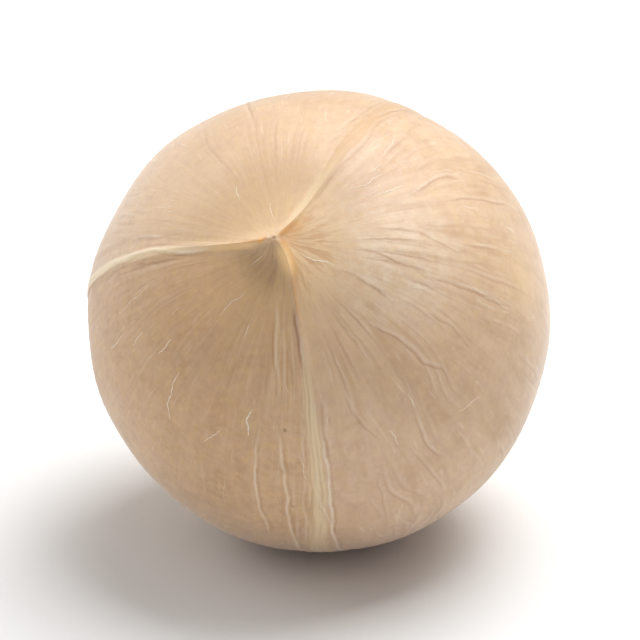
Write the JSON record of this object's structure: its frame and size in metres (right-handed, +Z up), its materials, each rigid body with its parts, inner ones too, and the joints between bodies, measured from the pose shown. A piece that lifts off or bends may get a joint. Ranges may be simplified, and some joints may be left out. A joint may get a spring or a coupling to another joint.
{
  "type": "shaved coconut",
  "caption": "Whole shaved coconut, a polished beige ball with a three-cornered tip and three fibre seams, lying on its side on a small flat spot.",
  "frame": {"origin": "centre of the small flat spot that the coconut rests on, under its weight", "axes": "+Z up; the tip points towards -Y and is raised 42 degrees; +X is to the right as seen from the tip side"},
  "size_m": [0.1001, 0.0995, 0.0987],
  "materials": {
    "coconut_skin": "matte, finely fibrous and slightly waxy, cream to tan, with pale seams and an orange-brown tip"
  },
  "bodies": {
    "root": {"shaved_coconut": "coconut_skin"}
  },
  "joints": []
}
